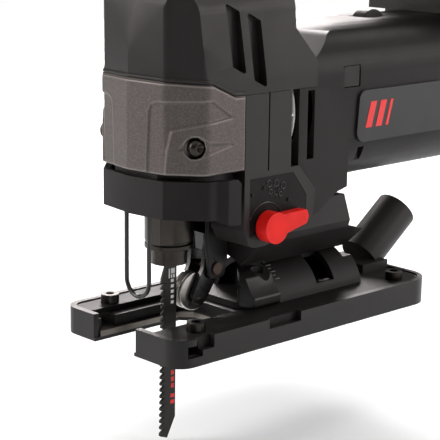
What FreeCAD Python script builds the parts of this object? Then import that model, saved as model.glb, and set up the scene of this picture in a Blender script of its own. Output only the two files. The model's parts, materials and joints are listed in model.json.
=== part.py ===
import FreeCAD, Part
import math
import os

from FreeCAD import Placement, Rotation, Vector
import Sketcher

# A D-handle jigsaw. Origin: centre of the sole's underside. +Z up, -Y forward (towards the
# blade), +X the tool's left side. Millimetres and degrees.

NODES = {}
doc = FreeCAD.newDocument("jigsaw")
sheet = doc.addObject("Spreadsheet::Sheet", "Sizes")

DRIVING = {
    # base
    "base_length": 168,
    "base_half_width": 40,
    "rim_wall": 3,
    "rim_top": 12.4,
    "shoe_skin": 1.6,
    "sole_plate_top": 4.2,
    "casting_top": 11.8,
    "step_top": 9,
    "prong_inner_left": 11,
    "prong_inner_right": 16,
    "gap_end": -29,
    "strip_width": 3,
    "step_width": 8,
    "front_corner": 9,
    "tilt_axis_height": 7,
    "quadrant_radius": 23,
    "quadrant_front": -6,
    "quadrant_rear": 50,
    "keel_step": -7.4,
    "lever_sweep": 28.6,
    "base_screw_x": 29.5,
    "base_screw_front": -64.5,
    "base_screw_rear": 66,
    # blade, clamp, plunger
    "blade_y": -54.5,
    "blade_half_thickness": 0.75,
    "blade_back": -50.2,
    "tooth_tips": -59,
    "tooth_depth": 2.2,
    "tooth_pitch": 3,
    "blade_bottom": -48,
    "clamp_bottom": 35,
    "lower_collar_radius": 8.1,
    "upper_collar_radius": 11,
    "collar_step": 42,
    "collar_top": 60,
    "plunger_radius": 5,
    "plunger_top": 160,
    "running_gap": 0.05,
    "crank_radius": 10,
    "crank_pin_radius": 3,
    "yoke_slack": 2.3,
    # roller
    "roller_y": -41.5,
    "roller_z": 19.6,
    "roller_radius": 8.8,
    "roller_half_width": 3.2,
    "fork_pivot_y": -33,
    "fork_pivot_z": 30,
    # head, cover, gear case
    "front": -78,
    "facet_x": 20,
    "facet_y": -74.8,
    "side_y": -63.5,
    "half_width": 33.3,
    "cover_bottom": 80,
    "lip_front": 120,
    "lip_side": 112.3,
    "cover_rear": -40.5,
    "case_rear": -12,
    "case_rear_low": 2.6,
    "step_height": 78,
    "case_bottom": 44.4,
    "nose_bottom": 60.5,
    "band_bottom": 61,
    "band_top": 77.4,
    "band_wall": 2.4,
    "lever_pivot_x": -30.2,
    "lever_pivot_y": -45.6,
    "seam": 0.2,
    # motor
    "motor_z": 101,
    "gear_z": 129,
    "gear_front": -36,
    "gear_rear": -28,
    "gear_teeth": 48,
    "pinion_teeth": 8,
    "tooth_module": 1,
    "motor_half_width": 33,
    "motor_top": 137.5,
    "motor_bottom": 65,
    "motor_front": -7,
    "motor_rear": 124,
    "fan_radius": 31,
    "fan_front": -11.2,
    "fan_rear": -7.6,
    "stator_radius": 29,
    "armature_radius": 19.6,
    "shaft_radius": 4,
    "bearing_radius": 10,
    # handle
    "handle_top": 206,
    "handle_half_width": 19,
    "grip_underside": 172,
    "finger_front": -8,
    "finger_rear": 110,
    "handle_rear": 158,
    "trigger_travel": 5,
    # bevel and side controls
    "orbit_y": -27,
    "orbit_z": 53.5,
    "dial_y": 74,
    "dial_z": 132,
    "dial_radius": 9,
    "inlet_z": 126,
    "cord_radius": 4,
    "port_radius": 10.5,
    "port_lean": 53,
}

for row, (alias, number) in enumerate(DRIVING.items(), start=1):
    sheet.set(f"A{row}", alias.replace("_", " "))
    sheet.set(f"B{row}", str(number))
    sheet.setAlias(f"B{row}", alias)
doc.recompute()


class Size:
    """A number together with the sheet formula that it comes from."""

    def __init__(self, value, text):
        self.value = value
        self.text = text

    def __add__(self, other):
        other = size(other)
        return Size(self.value + other.value, f"({self.text} + {other.text})")

    def __sub__(self, other):
        other = size(other)
        return Size(self.value - other.value, f"({self.text} - {other.text})")

    def __mul__(self, factor):
        factor = size(factor)
        return Size(self.value * factor.value, f"({self.text} * {factor.text})")

    def __truediv__(self, divisor):
        return Size(self.value / divisor, f"({self.text} / {divisor})")

    def __neg__(self):
        return Size(-self.value, f"(0 - {self.text})")

    def __radd__(self, other):
        return size(other) + self

    def __rsub__(self, other):
        return size(other) - self

    __rmul__ = __mul__


def size(number):
    """Turns a plain number into a Size and leaves a Size as it is."""
    if isinstance(number, Size):
        return number
    return Size(float(number), f"({float(number):.4f})")


class Sizes:
    """Gives every driving dimension by its alias."""

    def __getattr__(self, alias):
        return Size(float(sheet.get(alias)), f"Sizes.{alias}")


S = Sizes()


def bind(item, formulas):
    """Ties properties of an object to formulas of the sheet."""
    for prop, formula in formulas.items():
        item.setExpression(prop, size(formula).text)


def place(item, x=0, y=0, z=0):
    bind(item, {"Placement.Base.x": x, "Placement.Base.y": y, "Placement.Base.z": z})
    return item


def node(label, item):
    """Gives an object the label that names its file."""
    item.Label = label
    NODES[label] = item
    return item


# ---------------------------------------------------------------- primitives and booleans


def box(x, y, z):
    """A block between two limits on each axis."""
    item = doc.addObject("Part::Box", "Block")
    sides = [size(high) - low for low, high in (x, y, z)]
    bind(item, dict(zip(("Length", "Width", "Height"), sides)))
    return place(item, x[0], y[0], z[0])


TURNS = {
    "x": Rotation(Vector(0, 1, 0), 90),
    "y": Rotation(Vector(1, 0, 0), -90),
    "z": Rotation(),
}


def round_centre(axis, centre, start):
    """The base point of a round solid whose axis is along x, y or z."""
    first, second = centre
    return {"x": (start, first, second), "y": (first, start, second), "z": (first, second, start)}[axis]


def rod(axis, radius, centre, span):
    """A cylinder along an axis; centre holds its other two coordinates, in X, Y, Z order."""
    item = doc.addObject("Part::Cylinder", "Rod")
    item.Placement = Placement(Vector(), TURNS[axis])
    bind(item, {"Radius": radius, "Height": size(span[1]) - span[0]})
    return place(item, *round_centre(axis, centre, span[0]))


def fuse(*pieces):
    item = doc.addObject("Part::MultiFuse", "Union")
    item.Shapes = list(pieces)
    return item


def common(*pieces):
    item = doc.addObject("Part::MultiCommon", "Overlap")
    item.Shapes = list(pieces)
    return item


def cut(base, *tools):
    """Takes the tools away from the base, one after another."""
    for tool in tools:
        item = doc.addObject("Part::Cut", "Trimmed")
        item.Base = base
        item.Tool = tool
        base = item
    return base


def group(*pieces):
    """Separate solids that share one node."""
    item = doc.addObject("Part::Compound", "Set")
    item.Links = list(pieces)
    return item


def mirror_of(item):
    """The same piece on the other side of the middle plane."""
    copy = doc.addObject("Part::Mirroring", "Mirror")
    copy.Source = item
    copy.Normal = Vector(1, 0, 0)
    return copy


def moved(item, placement):
    copy = doc.addObject("Part::Compound", "Moved")
    copy.Links = [item]
    copy.Placement = placement
    return copy


# ---------------------------------------------------------------- sketched prisms

NORMALS = {"XY": Vector(0, 0, 1), "XZ": Vector(0, -1, 0), "YZ": Vector(1, 0, 0)}


def add_sketch(body, plane, points, offset):
    """A closed outline on an origin plane, every corner tied to the sheet."""
    sketch = body.newObject("Sketcher::SketchObject", "Outline")
    support = next(f for f in body.Origin.OriginFeatures if f.Role == plane + "_Plane")
    sketch.AttachmentSupport = [(support, "")]
    sketch.MapMode = "FlatFace"
    bind(sketch, {"AttachmentOffset.Base.z": offset})
    corners = [(size(u), size(v)) for u, v in points]
    starts = [Vector(u.value, v.value, 0) for u, v in corners]
    for here, there in zip(starts, starts[1:] + starts[:1]):
        sketch.addGeometry(Part.LineSegment(here, there), False)
    total = len(corners)
    for index, (u, v) in enumerate(corners):
        sketch.addConstraint(Sketcher.Constraint("Coincident", index, 2, (index + 1) % total, 1))
        for kind, letter, formula in (("DistanceX", "u", u), ("DistanceY", "v", v)):
            number = sketch.addConstraint(Sketcher.Constraint(kind, index, 1, formula.value))
            sketch.renameConstraint(number, f"{letter}{index}")
            sketch.setExpression(f"Constraints.{letter}{index}", formula.text)
    return sketch


def round_corners(body, base, plane, points, rounds):
    """Rounds the edges that stand on the given corners, one radius after another."""
    radii = {size(radius).value: size(radius) for radius in rounds.values()}
    for value in sorted(radii, reverse=True):
        doc.recompute()
        wanted = [points[index] for index, radius in rounds.items() if size(radius).value == value]
        names = []
        for number, edge in enumerate(base.Shape.Edges, start=1):
            if len(edge.Vertexes) != 2 or edge.Curve.TypeId != "Part::GeomLine":
                continue
            if abs(abs(edge.Curve.Direction.dot(NORMALS[plane])) - 1) > 1e-6:
                continue
            spot = edge.Vertexes[0].Point
            flat = {"XY": (spot.x, spot.y), "XZ": (spot.x, spot.z), "YZ": (spot.y, spot.z)}[plane]
            for u, v in wanted:
                if math.hypot(flat[0] - size(u).value, flat[1] - size(v).value) < 1e-4:
                    names.append(f"Edge{number}")
        fillet = body.newObject("PartDesign::Fillet", "Rounding")
        fillet.Base = (base, names)
        bind(fillet, {"Radius": radii[value]})
        base = fillet
        body.Tip = fillet


def prism(plane, points, span, rounds=None):
    """A body padded from an outline; span holds its limits across the outline's plane.

    rounds gives the corner radius by the corner's number.
    """
    body = doc.addObject("PartDesign::Body", "Prism")
    low, high = size(span[0]), size(span[1])
    sketch = add_sketch(body, plane, points, -high if plane == "XZ" else low)
    pad = body.newObject("PartDesign::Pad", "Pad")
    pad.Profile = sketch
    bind(pad, {"Length": high - low})
    body.Tip = pad
    if rounds:
        round_corners(body, pad, plane, points, rounds)
    return body


def sided(points):
    """Completes an outline given for +X by its mirror image."""
    return list(points) + [(-size(x), v) for x, v in reversed(list(points))]


def halves(name, whole):
    """Splits a shell on the middle plane into its left and right halves."""
    for label, x in (("left", (-60, 0)), ("right", (0, 60))):
        node(f"{name}_{label}", cut(whole, box(x, (-100, 200), (-10, 220))))


# ---------------------------------------------------------------- base


def base_outline(inset):
    """Plan of the base: two prongs in front of a full-width rear part."""
    side = S.base_half_width - inset
    front = -S.base_length / 2 + inset
    rear = S.base_length / 2 - inset
    left = S.prong_inner_left
    right = -S.prong_inner_right
    end = S.gap_end
    return [
        (left, front),
        (side, front),
        (side, rear),
        (-side, rear),
        (-side, front),
        (right, front),
        (right, end - 5),
        (right + 5, end),
        (left - 5, end),
        (left, end - 5),
    ]


def base_blank(inset, z):
    corner = S.front_corner - inset
    return prism("XY", base_outline(inset), z, {1: corner, 2: corner * 1.5, 3: corner * 1.5, 4: corner})


def screw_places():
    x, front, rear = S.base_screw_x, S.base_screw_front, S.base_screw_rear
    return [(x, front), (-x, front), (x, rear), (-x, rear)]


def make_base():
    windows = box((-50, 50), (-78, -70), (S.sole_plate_top, 9.4))
    sole = base_blank(S.rim_wall + 0.2, (S.shoe_skin, S.sole_plate_top))
    node("sole_plate", cut(sole, *[rod("z", 2, place_xy, (0, 6)) for place_xy in screw_places()]))

    casting = base_blank(S.rim_wall + 0.2, (S.sole_plate_top, S.casting_top))
    left, right = S.prong_inner_left, -S.prong_inner_right
    gap_strip = box((right - S.strip_width, left + S.strip_width), (-100, S.gap_end + 3), (4, 13))
    step = box((right - S.step_width, left + S.step_width), (-100, S.gap_end + 8), (S.step_top, 13))
    screw_holes = [rod("z", 2, spot, (0, 12)) for spot in screw_places()]
    port_slot = rod("z", 10, (0, 66), (4, 7.4))
    node("base_casting", cut(casting, gap_strip, step, windows, port_slot, *screw_holes))

    shoe = base_blank(0, (0, S.rim_top))
    hollow = base_blank(S.rim_wall, (S.shoe_skin, 20))
    open_gap = box((-S.prong_inner_right - 1, S.prong_inner_left + 1), (-100, S.gap_end), (S.shoe_skin, 20))
    side_notch = box((36, 50), (-30, -10), (8, 20))
    clip_notch = box((36, 50), (-73.5, -63.5), (6.8, 20))
    guide_slots = box((-50, 50), (-78, -70), (S.sole_plate_top, 9.4))
    node("glide_shoe", cut(shoe, hollow, open_gap, side_notch, clip_notch, guide_slots))

    screws = []
    for x, y in screw_places():
        shank = rod("z", 1.9, (x, y), (2, S.casting_top + 0.5))
        head = cut(rod("z", 4.2, (x, y), (S.casting_top, 16)), rod("z", 2, (x, y), (13.8, 17)))
        screws.append(fuse(shank, head))
    node("base_screws", group(*screws))

    radius = S.quadrant_radius
    axis = (0, S.tilt_axis_height)
    barrel = rod("y", radius, axis, (S.quadrant_front, S.quadrant_rear))
    above = box((-30, 30), (-20, 80), (S.casting_top, 40))
    bore = rod("y", radius - 3, axis, (S.quadrant_front + 9, S.quadrant_rear - 3))
    mouth = rod("y", radius - 3, axis, (S.quadrant_front - 1, S.quadrant_front + 6))
    window = box((8, 24), (20, 32), (16, 40))
    rear_slot = box((-10, 24), (44, 60), (24, 40))
    node("bevel_quadrant", cut(common(barrel, above), bore, mouth, window, rear_slot))


def make_base_lock():
    """Cranked lever that clamps the tilt, on a bolt in front of the quadrant."""
    hub = (15, -12)
    reach = 24.5
    foot = S.casting_top + 0.3
    outline = [
        (9, foot),
        (reach, foot),
        (reach, 17),
        (21.5, 19.5),
        (18, 25.5),
        (14, 27.5),
        (7.5, 27.5),
        (7.5, 24.5),
        (12.5, 24),
        (15.5, 20.5),
        (9, 18),
    ]
    arm = prism("XZ", outline, (-24, -7.5), {1: 2, 2: 2, 4: 2, 5: 2})
    plan = [(13, -7.8), (5, -13), (5, -17), (13, -24), (26, -24), (26, -7.8)]
    trim = prism("XY", plan, (5, 35), {3: 4})
    lever = common(arm, trim)
    bolt_hole = rod("z", 2.5 + S.running_gap, hub, (5, 30))
    head_room = rod("z", 4.6, hub, (16.5, 35))
    node("base_lock_lever", cut(lever, bolt_hole, head_room))
    node("lock_bolt", fuse(rod("z", 2.5, hub, (S.casting_top, 16.8)), rod("z", 4, hub, (16.8, 18.8))))


def make_dust_outlet():
    """Extraction tube that rises backwards from the rear of the base."""
    lie = Placement(Vector(0, 74, 16.3), Rotation(Vector(1, 0, 0), -S.port_lean.value))
    tube = moved(rod("z", S.port_radius, (0, 0), (0, 34)), lie)
    bore = moved(rod("z", S.port_radius - 2.5, (0, 0), (4, 40)), lie)
    foot = box((-13, 13), (62, 80.5), (S.casting_top, 16))
    above = box((-30, 30), (20, 120), (S.casting_top, 60))
    rim_room = box((-50, 50), (80.8, 84.2), (0, S.rim_top + 0.2))
    node("dust_outlet", cut(common(fuse(tube, foot), above), bore, rim_room))


# ---------------------------------------------------------------- housings


def plan_outline(grow=0):
    """Plan of the head: a blunt nose with one facet on each side."""
    return [
        (S.facet_x + grow, S.facet_y - grow),
        (S.half_width + grow, S.side_y),
        (S.half_width + grow, 200),
        (-S.half_width - grow, 200),
        (-S.half_width - grow, S.side_y),
        (-S.facet_x - grow, S.facet_y - grow),
        (0, S.front - grow),
    ]


def plan_body(z):
    return prism("XY", plan_outline(), z, {0: 4, 1: 6, 4: 6, 5: 4})


def make_head():
    """Upper housing: head, D-handle and the post that joins the rear of the motor."""
    seam = S.seam
    grip_top, under = S.handle_top, S.grip_underside
    top = S.motor_top + seam
    side_view = [
        (S.front - 1, S.lip_front),
        (-60, S.lip_front - 1.5),
        (-47, S.lip_side + seam),
        (4, S.lip_side + seam),
        (4, 124.4),
        (-9, top + 1.5),
        (S.finger_front - 1, 152),
        (S.finger_front + 5, 164),
        (16, under + 1),
        (96, under - 1),
        (S.finger_rear, 160),
        (S.finger_rear + 1, top),
        (S.motor_rear + seam, top),
        (S.motor_rear + seam, 104),
        (134, 104),
        (147, 118),
        (154, 140),
        (S.handle_rear, 166),
        (152, 188),
        (128, 200),
        (70, grip_top),
        (10, grip_top),
        (-30, 202),
        (-56, 188),
        (-70, 168),
        (-74.6, 152),
        (-77, 138),
    ]
    rounds = {18: 14, 19: 20, 22: 30, 23: 30, 24: 20, 7: 8, 8: 12, 9: 8, 10: 8}
    profile = prism("YZ", side_view, (0, 40), rounds)
    front_view = sided([
        (S.half_width, 90),
        (S.half_width, 119),
        (31, 150),
        (S.handle_half_width, 176),
        (S.handle_half_width, 196),
        (12, grip_top + 0.5),
    ])
    section = prism("XZ", front_view, (-100, 170), {2: 16, 3: 16, 4: 9, 7: 9, 8: 16, 9: 16})
    outer = common(profile, section, plan_body((90, 220)))

    fan_bay = rod("y", S.fan_radius + 0.6, (0, S.motor_z), (S.fan_front - 1.2, 6))
    gear_bay = rod("y", 25.6, (0, S.gear_z), (S.gear_front - 11, S.gear_rear + 1.5))
    gear_bay_low = box((-25.6, 25.6), (S.gear_front - 11, S.gear_rear + 1.5), (100, S.gear_z))
    yoke_bay = box((-20, 20), (-66, S.gear_front), (110, 149))
    bush_hole = rod("z", 9, (0, S.blade_y), (140, 157))
    plunger_room = rod("z", 7, (0, S.blade_y), (150, 184))
    bearing_seat = rod("y", S.bearing_radius, (0, S.gear_z), (-26.5, -19.5))
    shaft_hole = rod("y", 6, (0, S.gear_z), (-30, -17.5))
    switch_bay = prism("YZ", [(0, 180), (8, 196), (60, 197), (60, 178), (44, 160), (0, 160)], (-12, 12))
    post_bay = prism("YZ", [(-50, 160), (-38, 186), (-20, 198), (-2, 198), (-6, 176), (-14, 158)], (-15, 15))
    wire_path = [
        (60, 182),
        (60, 196),
        (120, 192),
        (140, 180),
        (144, 150),
        (130, 112),
        (129, 128),
        (130, 150),
        (124, 172),
        (100, 182),
    ]
    wire_bay = prism("YZ", wire_path, (-9, 9))
    gland_hole = rod("y", 9, (0, S.inlet_z), (130, 170))
    louvres = []
    for y, z, height in ((-45.4, 136.5, 27), (-33, 131, 29)):
        lean, width = 1.4, 3.9
        view = [
            (y - width - lean, z + height / 2 + 2),
            (y + width - lean, z + height / 2 - 2),
            (y + width + lean, z - height / 2 - 2),
            (y - width + lean, z - height / 2 + 2),
        ]
        louvres.append(prism("YZ", view, (28.6, 40), {0: 1, 1: 1, 2: 1, 3: 1}))
    button_hole = rod("x", 5.4, (26, 187), (-30, 30))
    hollows = [
        fan_bay, gear_bay, gear_bay_low, yoke_bay, bush_hole, plunger_room, bearing_seat, shaft_hole,
        post_bay, switch_bay, wire_bay, gland_hole, button_hole,
    ]
    left = cut(outer, *hollows, *louvres)
    node("head_housing_left", left)
    node("head_housing_right", mirror_of(left))


def make_gearbox_cover():
    """Silver cover round the plunger, between the head and the blade-change lever."""
    seam = S.seam
    side_view = [
        (S.front - 1, S.cover_bottom + 1),
        (-60, S.cover_bottom),
        (S.cover_rear - seam, S.cover_bottom),
        (S.cover_rear - seam, S.lip_side),
        (-47, S.lip_side),
        (-60, S.lip_front - 1.5 - seam),
        (S.front - 1, S.lip_front - seam),
    ]
    outer = common(prism("YZ", side_view, (-40, 40)), plan_body((70, 125)))
    clamp_bay = rod("z", 15.5, (0, S.blade_y), (75, 86))
    bush_hole = rod("z", 9, (0, S.blade_y), (80, 98))
    yoke_bay = box((-20, 20), (-66, -30), (98, 125))
    seats = []
    for side in (-1, 1):
        seat = rod("x", 5.5, (-65, 92), (27.2, 40))
        seats.append(seat if side > 0 else mirror_of(seat))
    screw_hole = rod("x", 1.6, (-65, 92), (-30, 30))
    halves("gearbox_cover", cut(outer, clamp_bay, bush_hole, yoke_bay, screw_hole, *seats))
    screw = cut(fuse(rod("x", 4.2, (-65, 92), (27.3, 29.8)), rod("x", 1.6, (-65, 92), (12, 27.5))),
                rod("x", 1.8, (-65, 92), (28.4, 33)))
    node("cover_screws", group(screw, mirror_of(screw)))


def selector_outline(grow=0):
    """Five-sided outline of the selector plate; grow widens it all round."""
    return [
        (-37 - grow, 49.4 - grow),
        (-1.6 + grow, 56 - grow),
        (-1.6 + grow, 64 + grow),
        (-10.5 + grow / 2, 75.4 + grow),
        (-37 - grow, 75.4 + grow),
    ]


def make_gear_case():
    """Black case between the silver cover and the motor, down to the keel."""
    seam = S.seam
    front, rear = S.cover_rear + seam, S.case_rear
    side_view = [
        (front, S.lip_side),
        (front, 52),
        (-36.5, S.case_bottom),
        (-27, S.case_bottom),
        (S.case_rear_low, 53),
        (S.case_rear_low + 1.8, 66.3),
        (-6.5, S.step_height),
        (rear, S.step_height),
        (rear, S.lip_side),
    ]
    outer = common(prism("YZ", side_view, (-40, 40), {1: 3, 2: 5}), plan_body((40, 115)))
    fan_bay = rod("y", S.fan_radius + 0.6, (0, S.motor_z), (rear, 6))
    gear_bay = rod("y", 25.6, (0, S.gear_z), (front - 3, S.gear_rear + 1.5))
    pinion_bay = rod("y", 8, (0, S.motor_z), (front - 3, -20))
    yoke_bay = box((-20, 20), (-45, S.gear_front + 1), (98, 120))
    bearing_seat = rod("y", S.bearing_radius, (0, S.motor_z), (-24.5, -17.5))
    shaft_hole = rod("y", 6, (0, S.motor_z), (-30, -10))
    fork_room = box((-12, 12), (-45, -24), (40, 66))
    seam_grooves = []
    for side in (-1, 1):
        low_x, high_x = sorted((side * (S.half_width.value - 0.8), side * 40))
        seam_grooves.append(box((low_x, high_x), (-26.4, -25.6), (78, 115)))
    recess = prism("YZ", selector_outline(0.1), (S.half_width - 1.5, 40))
    lever_hole = rod("x", 2.5 + S.running_gap, (S.orbit_y, S.orbit_z), (25, 40))
    hollows = [gear_bay, pinion_bay, yoke_bay, bearing_seat, shaft_hole, fork_room, lever_hole, fan_bay]
    halves("gear_case", cut(outer, *hollows, recess, *seam_grooves))


def make_nose():
    """Frame inside the blade-change lever: holds the finger guard and clears the clamp."""
    outline = sided([(14, -73.8), (24.5, -64), (26.5, -50), (26.5, S.cover_rear - S.seam)])
    block = prism("XY", outline, (S.nose_bottom, S.cover_bottom - S.seam))
    clamp_bay = rod("z", 17.2, (0, S.blade_y), (50, 90))
    ear = box((-34, -26), (-49.4, S.cover_rear - S.seam), (S.band_top + 0.4, S.cover_bottom - S.seam))
    knuckle_room = rod("z", 4.4, (S.lever_pivot_x, S.lever_pivot_y), (50, S.band_top + 0.4))
    guard_holes = [rod("z", 1, (x, -72.6), (50, 70)) for x in (-7.6, 7.6)]
    pin_hole = rod("z", 1.6, (S.lever_pivot_x, S.lever_pivot_y), (50, 79))
    node("nose_frame", cut(fuse(block, ear), clamp_bay, knuckle_room, pin_hole, *guard_holes))
    node("lever_pin", rod("z", 1.6, (S.lever_pivot_x, S.lever_pivot_y), (S.band_bottom, 79)))

    wire = [rod("z", 1, (x, -72.6), (30, 69.5)) for x in (-7.6, 7.6)]
    ring = doc.addObject("Part::Torus", "Ring")
    bind(ring, {"Radius1": 7.6, "Radius2": 1})
    ring.Placement = Placement(Vector(), Rotation(Vector(1, 0, 0), 90))
    place(ring, 0, -72.6, 30)
    bend = common(ring, box((-12, 12), (-80, -60), (10, 30)))
    node("finger_guard", fuse(bend, *wire))


def make_blade_lever():
    """Band round the nose that opens the blade clamp; hinged at the right, tab at the left."""
    wall = S.band_wall
    side = S.half_width + 0.6
    outer = [
        (side + 3.5, -46.2),
        (side + 3.3, -53.5),
        (side + 0.5, -57.5),
        (side, S.side_y + 1.5),
        (S.facet_x, S.facet_y - 0.8),
        (0, S.front - 0.2),
        (-S.facet_x, S.facet_y - 0.8),
        (-side, S.side_y + 1.5),
        (-side, -45.6),
    ]
    last = len(outer) - 1
    inner = []
    for index, (x, y) in enumerate(outer):
        inset = wall if size(x).value > 1 else -wall if size(x).value < -1 else 0
        inner.append((size(x) - inset, y if index in (0, last) else size(y) + wall * 0.8))
    rounds = {1: 2, 2: 3, 3: 4, 7: 4, 10: 2, 14: 2, 15: 3, 16: 2}
    band = prism("XY", outer + inner[::-1], (S.band_bottom - 4, S.band_top), rounds)
    tab_view = [
        (-90, S.band_bottom),
        (-57, S.band_bottom - 0.5),
        (-53.5, S.band_bottom - 3),
        (-44, S.band_bottom - 4),
        (-44, S.band_top - 4),
        (-48, S.band_top),
        (-90, S.band_top),
    ]
    span = (S.band_bottom, S.band_top)
    band = common(band, fuse(prism("YZ", tab_view, (0, 50)), box((-50, 0), (-90, -40), span)))
    knuckle = rod("z", 3.7, (S.lever_pivot_x, S.lever_pivot_y), span)
    pin_hole = rod("z", 1.6 + S.running_gap, (S.lever_pivot_x, S.lever_pivot_y), (50, 90))
    clear = rod("z", 10, (S.lever_pivot_x, S.lever_pivot_y), (50, 60))
    node("blade_change_lever", cut(fuse(band, knuckle), pin_hole, clear))


def make_motor_housing():
    """Vented collar and motor barrel behind the gear case."""
    bottom, top = S.motor_bottom, S.motor_top
    front, rear = S.motor_front, S.motor_rear
    side_view = [
        (front, S.lip_side),
        (front, S.step_height + S.seam),
        (-6.3, S.step_height + S.seam),
        (S.case_rear_low + 2.05, 66.4),
        (S.case_rear_low + 0.25, 53.2),
        (7.7, 55),
        (18, 62),
        (30, bottom),
        (rear - 12, bottom + 1),
        (rear - 3, bottom + 10),
        (rear, bottom + 22),
        (rear, top - 14),
        (rear - 0.5, top),
        (34, top),
        (20, 134),
        (4.3, 124.4),
        (4.3, S.lip_side),
    ]
    profile = prism("YZ", side_view, (-45, 45), {8: 10, 9: 8, 14: 12})
    width = S.motor_half_width
    section = prism("XZ", sided([(width, 40), (width, top)]), (-20, 130), {1: 22, 2: 22})
    low_round = prism("XZ", sided([(width, bottom), (width, 150)]), (26, 130), {0: 22, 3: 22})
    low_front = box((-50, 50), (-20, 26.001), (40, 150))
    outer = common(profile, section, fuse(low_round, low_front))
    wedge = prism("XZ", sided([(S.half_width, 40), (S.half_width, 60), (38, 80), (38, 150)]), (-20, 130))
    fan_bay = rod("y", S.fan_radius + 0.6, (0, S.motor_z), (-20, 6))
    motor_bore = rod("y", S.stator_radius, (0, S.motor_z), (6, 92))
    brush_bay = rod("y", 22, (0, S.motor_z), (92, 97))
    bearing_seat = rod("y", S.bearing_radius, (0, S.motor_z), (97, 108.5))
    dial_room = rod("x", S.dial_radius + 1, (S.dial_y, S.dial_z), (-5, 5))
    vents = []
    for side in (-1, 1):
        low_x, high_x = sorted((side * 29, side * 45))
        vents.append(box((low_x, high_x), (-1.6, 2.8), (80, 111)))
        for y in (98, 104, 110):
            vents.append(box((low_x, high_x), (y, y + 3), (88, 116)))
    side_pocket = box((30, 45), (22, 33), (110, 120))
    low_pockets = [box((low_x, high_x), (33.5, 37.5), (75, 81.5)) for low_x, high_x in ((29, 45), (-45, -29))]
    hollows = [fan_bay, motor_bore, brush_bay, bearing_seat, dial_room]
    whole = cut(common(outer, wedge), *hollows, *vents, side_pocket, *low_pockets)
    halves("motor_housing", whole)
    node("side_insert", box((30, 32.6), (22.3, 32.7), (110.3, 119.7)))
    badge_view = [(30, 84), (32, 108), (92, 108), (96, 84)]
    badge_span = (S.motor_half_width, S.motor_half_width + 1.2)
    badge = prism("YZ", badge_view, badge_span, {0: 5, 1: 4, 2: 4, 3: 5})
    node("badge_plate", badge)


def make_keel():
    """Curved skirt between the housings and the bevel quadrant, clear of the base at every tilt."""
    front, split, rear = -25, S.keel_step, 48.5
    view = sided([(12.5, 28.8), (28, 43), (30.5, 47), (30.5, 60)])
    section = prism("XZ", view, (front, rear), {1: 4, 6: 4})
    side_view = [
        (front, 28),
        (rear, 28),
        (rear, 39),
        (33, 43.5),
        (26, 63),
        (16, 60.2),
        (7.7, 54.5),
        (front, 44.5),
    ]
    profile = prism("YZ", side_view, (-35, 35), {1: 3})
    axis = (0, S.tilt_axis_height)
    over_quadrant = rod("y", S.quadrant_radius + 0.4, axis, (front - 5, rear + 20))
    over_lever = rod("y", S.lever_sweep, axis, (front - 5, split))
    node("keel_cover", cut(common(section, profile), over_quadrant, over_lever))


def make_handle_parts():
    """Trigger, lock-on button, dial, switch, soft grips and cord gland."""
    travel = S.trigger_travel
    view = [(6, 177), (8, 165.5), (14, 163), (36, 163), (40, 168), (40, 177)]
    node("trigger", prism("YZ", view, (-8.5, 8.5), {1: 3, 2: 3, 3: 3, 4: 3}))
    node("lock_button", rod("x", 5, (26, 187), (12.3, 21.5)))
    node("switch_block", box((-11.5, 9), (11, 56), (178.5 + travel, 195)))
    dial_centre = (S.dial_y, S.dial_z)
    dial_bore = rod("x", 1.5 + S.running_gap, dial_centre, (-9, 9))
    node("speed_dial", cut(rod("x", S.dial_radius, dial_centre, (-4, 4)), dial_bore))
    node("dial_pin", rod("x", 1.5, dial_centre, (-4.8, 4.8)))
    inlet = (0, S.inlet_z)
    collar = rod("y", 9, inlet, (146, 154))
    tail = rod("y", 7.5, inlet, (146, 164))
    node("cord_gland", cut(fuse(collar, tail), rod("y", S.cord_radius, inlet, (140, 170))))


# ---------------------------------------------------------------- motor and gears


def toothed_wheel(teeth, root, tip, span, root_half, tip_half, turn):
    """A spur gear on the Y axis through its own origin; one tooth repeated round the root."""
    body = doc.addObject("PartDesign::Body", "Wheel")
    low, high = size(span[0]), size(span[1])
    tooth_points = [
        (-size(root_half), root - 0.6),
        (root_half, root - 0.6),
        (tip_half, tip),
        (-size(tip_half), tip),
    ]
    disc_sketch = body.newObject("Sketcher::SketchObject", "Disc")
    plane = next(f for f in body.Origin.OriginFeatures if f.Role == "XZ_Plane")
    disc_sketch.AttachmentSupport = [(plane, "")]
    disc_sketch.MapMode = "FlatFace"
    bind(disc_sketch, {"AttachmentOffset.Base.z": -high})
    disc_sketch.addGeometry(Part.Circle(Vector(), Vector(0, 0, 1), size(root).value), False)
    disc_sketch.addConstraint(Sketcher.Constraint("Coincident", 0, 3, -1, 1))
    number = disc_sketch.addConstraint(Sketcher.Constraint("Radius", 0, size(root).value))
    disc_sketch.renameConstraint(number, "root")
    disc_sketch.setExpression("Constraints.root", size(root).text)
    disc = body.newObject("PartDesign::Pad", "Disc")
    disc.Profile = disc_sketch
    bind(disc, {"Length": high - low})
    tooth = body.newObject("PartDesign::Pad", "Tooth")
    tooth.Profile = add_sketch(body, "XZ", tooth_points, -high)
    bind(tooth, {"Length": high - low})
    doc.recompute()
    pattern = body.newObject("PartDesign::PolarPattern", "Teeth")
    pattern.Originals = [tooth]
    pattern.Axis = (next(f for f in body.Origin.OriginFeatures if f.Role == "Y_Axis"), [""])
    pattern.Angle = 360
    bind(pattern, {"Occurrences": teeth})
    body.Tip = pattern
    body.Placement = Placement(Vector(), Rotation(Vector(0, 1, 0), turn))
    return body


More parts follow.
